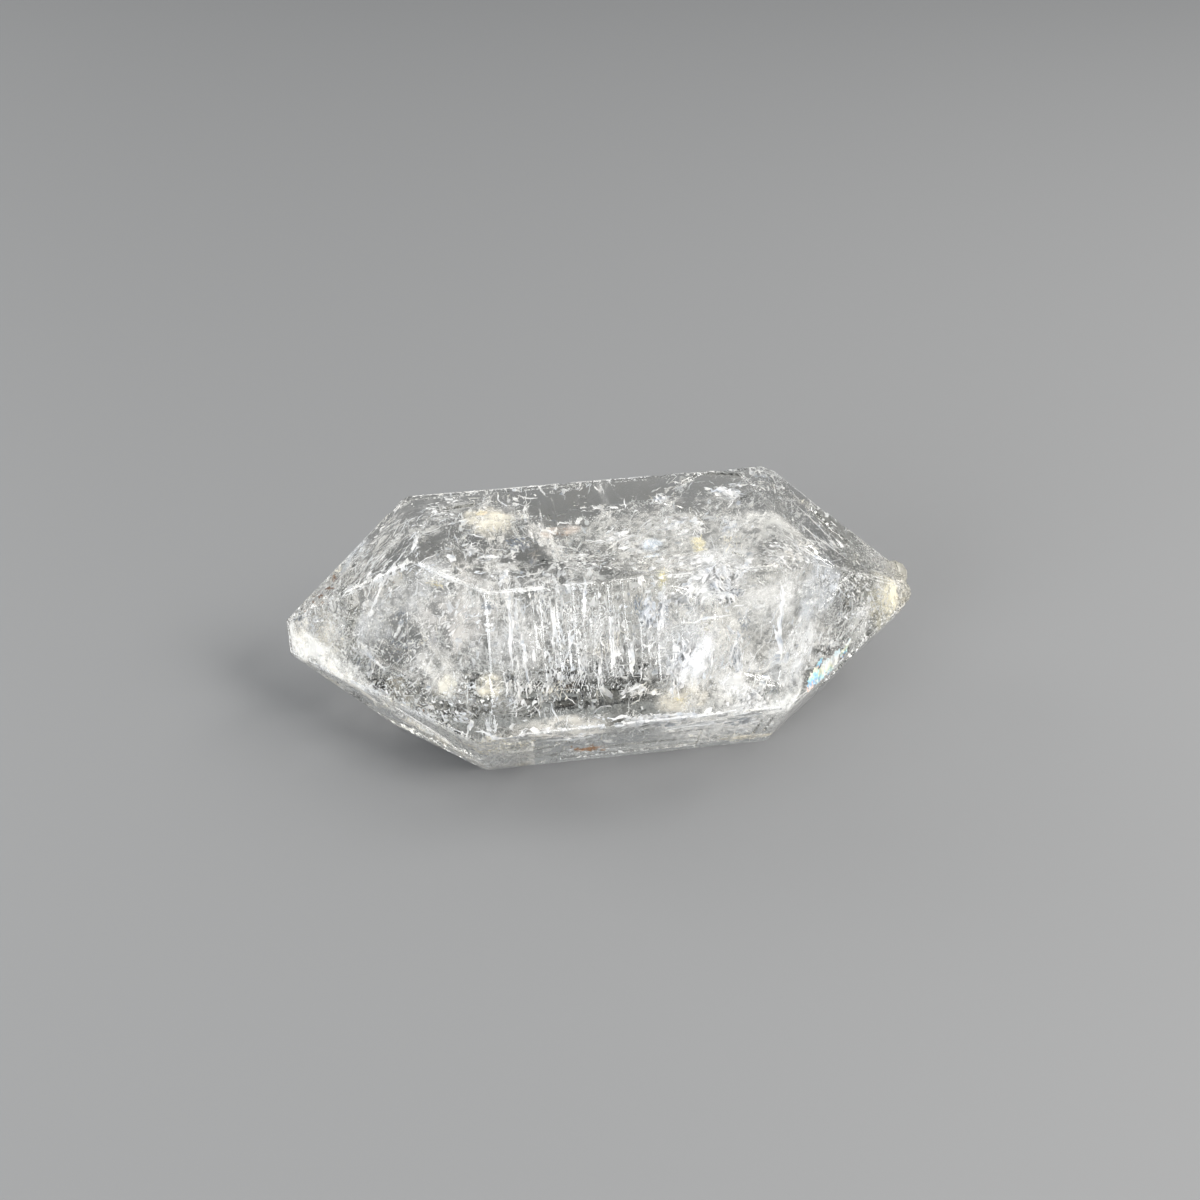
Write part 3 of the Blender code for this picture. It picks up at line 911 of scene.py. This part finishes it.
# pixel x, y, half width, half height, slant, depth (mm), strength, colour
cloudSpots = (
    (484, 516, 34, 22, 70, 1.1, 0.55, (0.82, 0.77, 0.65)),
    (496, 522, 34, 20, 100, 1.3, 0.5, (0.82, 0.78, 0.67)),
    (482, 512, 7, 4, 20, 0.8, 0.9, (0.88, 0.72, 0.48)),
    (560, 531, 22, 10, 5, 1.3, 0.5, (0.8, 0.7, 0.62)),
    (312, 634, 26, 38, 40, 1.2, 0.95, (0.95, 0.92, 0.86)),
    (345, 680, 50, 10, -36, 0.9, 0.9, (0.95, 0.91, 0.83)),
    (450, 622, 44, 34, 10, 1.6, 0.36, (0.84, 0.81, 0.78)),
    (420, 590, 36, 20, 30, 1.8, 0.25, (0.86, 0.86, 0.86)),
    (375, 620, 34, 26, 48, 1.6, 0.25, (0.88, 0.9, 0.93)),
    (430, 665, 40, 20, -10, 1.4, 0.3, (0.88, 0.87, 0.84)),
    (345, 560, 34, 20, 46, 1.2, 0.45, (0.86, 0.9, 0.95)),
    (520, 640, 24, 40, 88, 1.8, 0.25, (0.9, 0.9, 0.9)),
    (800, 652, 40, 26, 50, 1.2, 0.3, (0.94, 0.95, 0.96)),
    (735, 668, 30, 26, 80, 1.4, 0.28, (0.94, 0.95, 0.96)),
    (770, 600, 34, 26, 20, 1.6, 0.25, (0.94, 0.94, 0.93)),
    (860, 625, 26, 20, 45, 0.9, 0.35, (0.93, 0.93, 0.9)),
    (790, 700, 30, 14, 30, 0.8, 0.5, (0.94, 0.94, 0.92)),
    (447, 686, 14, 12, 40, 1.1, 0.55, (0.95, 0.92, 0.82)),
    (487, 686, 13, 12, 60, 1.1, 0.55, (0.95, 0.9, 0.76)),
    (748, 737, 36, 7, 3, 0.7, 0.8, (0.92, 0.85, 0.7)),
    (682, 700, 26, 13, 10, 1.4, 0.5, (0.9, 0.84, 0.72)),
    (590, 751, 17, 3.5, 5, 0.6, 0.9, (0.66, 0.44, 0.3)),
    (885, 605, 30, 26, -50, 1.6, 0.6, (0.88, 0.84, 0.68)),
    (663, 578, 6, 13, 88, 1.1, 0.6, (0.84, 0.82, 0.6)),
    (698, 543, 8, 10, 110, 1.1, 0.6, (0.86, 0.78, 0.52)),
    (680, 640, 40, 36, 30, 3.0, 0.4, (0.95, 0.97, 1.0)),
    (720, 575, 36, 26, 30, 3.2, 0.4, (0.96, 0.97, 0.98)),
    (820, 592, 38, 26, 40, 2.4, 0.32, (0.9, 0.94, 1.0)),
    (652, 545, 12, 9, 30, 1.6, 0.6, (0.78, 0.86, 0.95)),
    (560, 735, 60, 12, 6, 1.5, 0.5, (0.86, 0.83, 0.77)),
    (430, 735, 50, 10, -30, 1.0, 0.7, (0.93, 0.89, 0.8)),
    (300, 634, 20, 34, 62, 0.4, 1.0, (0.97, 0.96, 0.93)),
    (320, 648, 26, 30, -40, 0.7, 1.0, (0.96, 0.95, 0.91)),
    (345, 672, 46, 14, -36, 0.5, 1.0, (0.96, 0.95, 0.91)),
    (400, 712, 50, 11, -34, 0.5, 0.9, (0.95, 0.93, 0.88)),
    (455, 748, 40, 9, -28, 0.5, 0.9, (0.95, 0.92, 0.86)),
    (715, 582, 30, 18, 34, 1.4, 0.4, (0.92, 0.93, 0.93)),
    (690, 655, 30, 22, 76, 1.5, 0.7, (0.97, 0.98, 1.0)),
    (700, 725, 44, 7, 7, 0.6, 0.9, (0.95, 0.96, 0.96)),
    (770, 520, 40, 24, -38, 1.4, 0.35, (0.92, 0.91, 0.87)),
    (745, 712, 30, 10, 10, 0.8, 0.7, (0.96, 0.96, 0.95)),
    (890, 596, 14, 20, 60, 0.6, 0.7, (0.88, 0.84, 0.68)),
)
cloudLook = {
    "seed": 91,
    "roughness": 0.6,
    "tilt": 0.4,
    "lift": 0.6,  # mm
    "inset": 0.25 * mm,
    "thickness": 0.03 * mm,
    "noise": {"Scale": 620, "Detail": 6, "Roughness": 0.72},
    "alpha": (0.43, 0.55, 0.15, 1.0),
}


def addTintedClouds(look):
    draw = random.Random(look["seed"])
    tilt = look["tilt"]
    bm = bmesh.new()
    fade = bm.verts.layers.float_color.new("fade")
    tint = bm.verts.layers.float_color.new("tint")
    for number, (x, y, halfWide, halfHigh, slant, depth, strength, colour) in enumerate(cloudSpots):
        longer, shorter = max(halfWide, halfHigh), min(halfWide, halfHigh)
        normal = (viewTurn @ Vector((draw.uniform(-tilt, tilt), draw.uniform(-tilt, tilt), 1))).normalized()
        place = Matrix.Translation(underPixel(x, y, depth)) @ turnTo(normal, inPicture(math.radians(slant)))
        grid = bmesh.ops.create_grid(bm, x_segments=12, y_segments=10, size=1)
        for vertex in grid["verts"]:
            u, v = vertex.co.x, vertex.co.y
            lift = ripple(u * 1.5, v * 1.5, number * 0.7) * look["lift"] * mm
            ragged = 0.9 + 0.9 * ripple(u * 2.2, v * 2.2, number * 5.3)
            soft = strength * min(1, max(0, 1 - u * u - v * v) * 1.6 * ragged)
            vertex[fade] = (soft, soft, soft, 1)
            vertex[tint] = (*colour, 1)
            point = place @ Vector((u * longer * pixelSize, v * shorter * pixelSize, lift))
            vertex.co = keepInside(point, look["inset"])
    material, tree, shader = principled("tinted_cloud", Roughness=look["roughness"])
    wire(addNode(tree, "Attribute", -900, 300, attribute_name="tint"), "Color", shader, "Base Color")
    thinOut(material, look)
    clouds = inside("tinted_clouds", bm, material, wall=look["thickness"])
    clouds.visible_shadow = False


rainbowLook = {
    "roughness": 0.15,
    "inset": 0.1 * mm,
    "thickness": 0.02 * mm,
    "hues": (
        (0.0, (0.98, 0.98, 1.0)),
        (0.28, (0.95, 0.72, 0.62)),
        (0.36, (0.35, 0.62, 0.95)),
        (0.46, (0.55, 0.92, 0.98)),
        (0.6, (0.98, 1.0, 0.8)),
        (0.78, (1.0, 1.0, 0.98)),
        (1.0, (0.8, 0.95, 1.0)),
    ),
    "shards": (  # pixel x, y, half length and width (mm), slant, both hues
        (813, 680, 1.3, 0.55, 62, 0.2, 0.62),
        (823, 671, 1.5, 0.6, 48, 0.4, 0.85),
        (834, 661, 1.5, 0.5, 45, 0.5, 1.0),
        (846, 648, 1.3, 0.26, 43, 0.36, 0.9),
        (819, 664, 0.9, 0.2, 40, 0.3, 0.5),
    ),
}


def addRainbow(look):
    # a crack so thin that it splits the light
    material, tree, shader = principled("rainbow_crack", Roughness=look["roughness"])
    band = addNode(tree, "Attribute", -900, 0, attribute_name="band")
    ramp = addRamp(tree, -600, 0, look["hues"])
    wire(band, "Fac", ramp, "Fac")
    wire(ramp, "Color", shader, "Base Color")
    bm = bmesh.new()
    layer = bm.verts.layers.float_color.new("band")
    for number, (x, y, halfLong, halfWide, slant, first, last) in enumerate(look["shards"]):
        along = inPicture(math.radians(slant))
        normal = (viewTurn @ Vector((0.3 - 0.2 * number, 0.2, 1))).normalized()
        place = Matrix.Translation(underPixel(x, y, 0.3 + 0.06 * number)) @ turnTo(normal, along)
        grid = bmesh.ops.create_grid(bm, x_segments=18, y_segments=6, size=1)
        for vertex in grid["verts"]:
            u, v = vertex.co.x, vertex.co.y
            stray = 0.22 * ripple(u * 3, v * 2.5, number * 4.1)
            hue = clamp(first + (last - first) * (u + 1) / 2 + 0.12 * v + stray)
            vertex[layer] = (hue, hue, hue, 1)
            ragged = 1 + 1.2 * ripple(u * 5, v * 2, number * 9.1)
            lift = 0.25 * ripple(u * 5, v * 4, number + 1.1)
            local = Vector((u * halfLong, v * halfWide * ragged * (1 - 0.6 * abs(u) ** 3), lift)) * mm
            vertex.co = keepInside(place @ local, look["inset"])
    inside("rainbow_crack", bm, material, smooth=False, wall=look["thickness"])


# adds the flaws, and the grey clusters of painted shade
def addPictureFlawsAndShade(look):
    addPlates(plateLook)
    addTintedClouds(cloudLook)
    addRainbow(rainbowLook)
    tints = {name: warmTint(name, *finish) for name, finish in look["finishes"].items()}
    half = cameraLook["picture"] / 2
    leftClusters = [cluster for cluster in whiteClusters if cluster[0] < half]
    rightClusters = [cluster for cluster in whiteClusters if cluster[0] >= half]
    for name, clusters, seed, tint in (
        ("bright_cracks_left", leftClusters, 5, "bright_crack"),
        ("bright_cracks_right", rightClusters, 15, "bright_crack"),
        ("cream_clouds", creamClusters, 6, "cream_cloud"),
        ("yellow_stains", yellowClusters, 7, "yellow_stain"),
        ("rust_stains", rustClusters, 8, "rust_stain"),
        # painted shade, as dark grey flecks
        ("painted_shade_cracks", paintedShadeClusters, 9, "painted_shade_crack"),
    ):
        addClusters(name, clusters, seed, tints[tint], look)


# Edge wear: tiny bruises that whiten the crystal's edges

leastSharp = 10  # degrees between the flats at an outer edge


def outerEdges(solid, look):
    # each long, sharp outer edge, its ends, its faces and the degrees between its flats
    for edge in solid.edges:
        if len(edge.link_faces) != 2 or edge.calc_length() < look["longer"] or not edge.is_convex:
            continue
        first, second = edge.link_faces
        if first.normal.angle(second.normal) < math.radians(look["sharper"]):
            continue
        start, end = (vertex.co.copy() for vertex in edge.verts)
        sharp = edgeSharpness((start + end) / 2)
        if sharp >= leastSharp:
            yield edge, start, end, first, second, sharp


wearLook = {
    "seed": 61,
    "perMillimetre": 6.0,
    "size": (0.05, 0.2),  # mm
    "below": (0.1, 0.32),  # mm under the edge
    "sharper": 18,  # degrees between the faces
    "longer": 1.5 * mm,
    "inset": 0.07 * mm,
    "thickness": 0.02 * mm,
    "finish": (0.5, (0.96, 0.96, 0.95), (0.95, 0.92, 0.84), (0.9, 0.91, 0.93)),
}


def addEdgeWear(look):
    draw, whole, batch = begin(look)
    solid = cadCrystal()
    made = 0
    for edge, start, end, first, second, sharp in outerEdges(solid, look):
        outward = (first.normal + second.normal).normalized()
        along = (end - start).normalized()
        share = clamp((sharp - 36) / 16, 0.15)
        for _bruise in range(int(edge.calc_length() / mm * look["perMillimetre"] * share)):
            spot = start.lerp(end, draw.random())
            if noise.noise(spot * 300) < draw.uniform(-0.6, 0.2):
                continue
            aside = first.normal.cross(along) * draw.gauss(0, 0.12) * mm
            spot = spot - outward * draw.uniform(*look["below"]) * mm + aside
            size = draw.uniform(*look["size"]) * (0.4 + draw.random()) * mm
            lies = (along + randomDirection(draw) * 0.3).normalized()
            addFlake(batch, lieAlong(spot, lies, draw), size, made * 0.53, look["inset"])
            made += 1
            if made % batchSize == 0:
                batch = pourInto(whole, batch)
    pourInto(whole, batch).free()
    solid.free()
    addFlecks("bruised_edges", whole, "bruised_edge", look)


# Rims: the worn whitish line along each edge

rimLook = {
    "longer": 2.5 * mm,
    "sharper": 20,  # degrees between the faces
    "step": 0.45,  # mm
    "width": (0.04, 0.16),  # mm on each side
    "below": 0.07 * mm,
    "inset": 0.09 * mm,
    "thickness": 0.02 * mm,
    "finish": (0.5, (0.97, 0.97, 0.96), (0.95, 0.93, 0.87), (0.9, 0.92, 0.94)),
    "noise": {"Scale": 900, "Detail": 4, "Roughness": 0.7},
    "alpha": (0.4, 0.6, 0.12, 0.7),
}


def addRims(look):
    solid = cadCrystal()
    whole = bmesh.new()
    for edge, start, end, first, second, sharp in outerEdges(solid, look):
        along = (end - start).normalized()
        middle = (start + end) / 2
        outward = (first.normal + second.normal).normalized()
        asides = []
        for face in (first, second):
            aside = face.normal.cross(along).normalized()
            asides.append(aside if aside.dot(face.calc_center_median() - middle) > 0 else -aside)
        faint = clamp((sharp - 38) / 14, 0.15) * (0.6 if middle.z < 2 * mm else 1)
        batch = bmesh.new()
        cells = max(4, int(edge.calc_length() / mm / look["step"]))
        strip = bmesh.ops.create_grid(batch, x_segments=cells, y_segments=2, size=1)
        for vertex in strip["verts"]:
            u, v = vertex.co.x, vertex.co.y
            spot = start.lerp(end, (u + 1) / 2)
            worn = 0.5 + 0.9 * noise.noise(spot * 180) + 0.5 * noise.noise(spot * 900)
            width = pick(look["width"], clamp(worn))
            wobble = 0.5 + 0.8 * abs(noise.noise(spot * 1700 + Vector((v * 5, 0, 0))))
            aside = asides[0] if v < 0 else asides[1]
            spot = spot - outward * look["below"] + aside * abs(v) * width * wobble * faint * mm
            vertex.co = keepInside(spot, look["inset"])
        pourInto(whole, batch).free()
    solid.free()
    material = warmTint("worn_rim", *look["finish"])
    thinOut(material, look, faded=False)
    rims = inside("worn_rims", whole, material, smooth=False, wall=look["thickness"])
    rims.visible_shadow = False


# Frosted ends: coarse white grains close under the surface

frostLook = {
    "seed": 71,
    "skin": 0.1,  # mm of clear crystal above every grain
    "deep": 1.1,  # mm, the depth of the frosted layer
    "regions": (  # low corner, high corner (mm), how many, grain (mm)
        ((-33, -9, 3), (-26.5, 9, 18), 4200, (0.09, 0.3)),
        ((-29, -14, 0), (-9, -4, 8), 7500, (0.09, 0.26)),
        ((30.3, -4, 3), (33, 4, 16), 900, (0.06, 0.16)),
        ((-27, -14, 5), (-18, 4, 17), 900, (0.06, 0.16)),
        ((28, -7, 2), (33, 7, 16), 1500, (0.07, 0.2)),
        ((20, -13, 1), (29, 2, 12), 900, (0.06, 0.16)),
    ),
    "finish": (0.6, (0.96, 0.95, 0.92), (0.94, 0.89, 0.76), (0.93, 0.93, 0.93)),
}


def addFrost(look):
    draw, whole, batch = begin(look)
    made = 0
    for low, high, count, grain in look["regions"]:
        left = count
        while left > 0:
            spot = Vector([draw.uniform(a, b) for a, b in zip(low, high)]) * mm
            room = roomAt(spot) / mm
            if low[0] > knobSpan[0]:  # the knob stands out of the flat faces
                room = depthUnderSkin(spot)[2] / mm
            size = pick(grain, draw.random() ** 2)
            nearest = size + look["skin"]
            if room < nearest or room > nearest + look["deep"] * draw.random():
                continue
            left -= 1
            if noise.noise(spot * 350) < draw.uniform(-0.9, 0.1):
                continue
            addGrain(batch, draw, spot, size, top=0.4, tall=0.5)
            made += 1
            if made % batchSize == 0:
                batch = pourInto(whole, batch)
    pourInto(whole, batch).free()
    addFlecks("frosted_ends", whole, "frosted_end", look)


# Haze: a few wide, faint, wavy sheets

hazeLook = {
    "seed": 29,
    "number": 20,
    "room": 3.5 * mm,
    "halfLength": (5, 13),  # mm
    "halfWidth": (4, 9),  # mm
    "wave": 2.2 * mm,
    "inset": 0.5 * mm,
    "fadeOver": 1.5 * mm,  # towards the surface
    "inWindow": 0.25,
    "thickness": 0.03 * mm,
    "noise": {"Scale": 900, "Detail": 4, "Roughness": 0.75},
    "alpha": (0.47, 0.6, 0.02, 0.6),
}


def addHaze(look):
    draw = random.Random(look["seed"])
    bm = bmesh.new()
    fade = bm.verts.layers.float_color.new("fade")
    for number in range(look["number"]):
        centre = randomInside(draw, look["room"])
        place = lieAlong(centre, flowAt(centre, draw), draw)
        halfLength = draw.uniform(*look["halfLength"]) * mm
        halfWidth = draw.uniform(*look["halfWidth"]) * mm
        grid = bmesh.ops.create_grid(bm, x_segments=18, y_segments=14, size=1)
        for vertex in grid["verts"]:
            u, v = vertex.co.x, vertex.co.y
            lift = ripple(u * 1.6, v * 1.6, number * 0.7) * look["wave"]
            point = place @ Vector((u * halfLength, v * halfWidth, lift))
            room = clamp(roomAt(point) / look["fadeOver"])
            dim = look["inWindow"] if isClear(point, draw) else 1
            soft = max(0, 1 - u * u) * max(0, 1 - v * v) * room * dim
            vertex[fade] = (soft, soft, soft, 1)
            vertex.co = keepInside(point, look["inset"])
    material = principled("faint_haze", Roughness=0.6, Base_Color=(0.93, 0.92, 0.9, 1))[0]
    thinOut(material, look)
    haze = inside("faint_haze", bm, material, wall=look["thickness"])
    haze.visible_shadow = False


# Light bounces: many thin layers lie behind one another

bounceLook = {
    "max_bounces": 9,
    "transmission_bounces": 8,
    "transparent_max_bounces": 24,
    "diffuse_bounces": 2,
    "glossy_bounces": 3,
    "adaptive_threshold": 0.02,
    "caustics_reflective": False,
    "caustics_refractive": False,
    "sample_clamp_indirect": 6.0,
}


def setBounces(look):
    for name, value in look.items():
        setattr(scene.cycles, name, value)
    scene.view_settings.view_transform = "Standard"


addCamera(cameraLook)
addFloor(floorLook)
addLight(lightLook)
addShell(shellLook)
addDust(dustLook)
addWisps(wispLook)
addFlakes(flakeLook)
addPictureFlawsAndShade(clusterLook)
addEdgeWear(wearLook)
addRims(rimLook)
addFrost(frostLook)
addHaze(hazeLook)
setBounces(bounceLook)
print("pieces made")
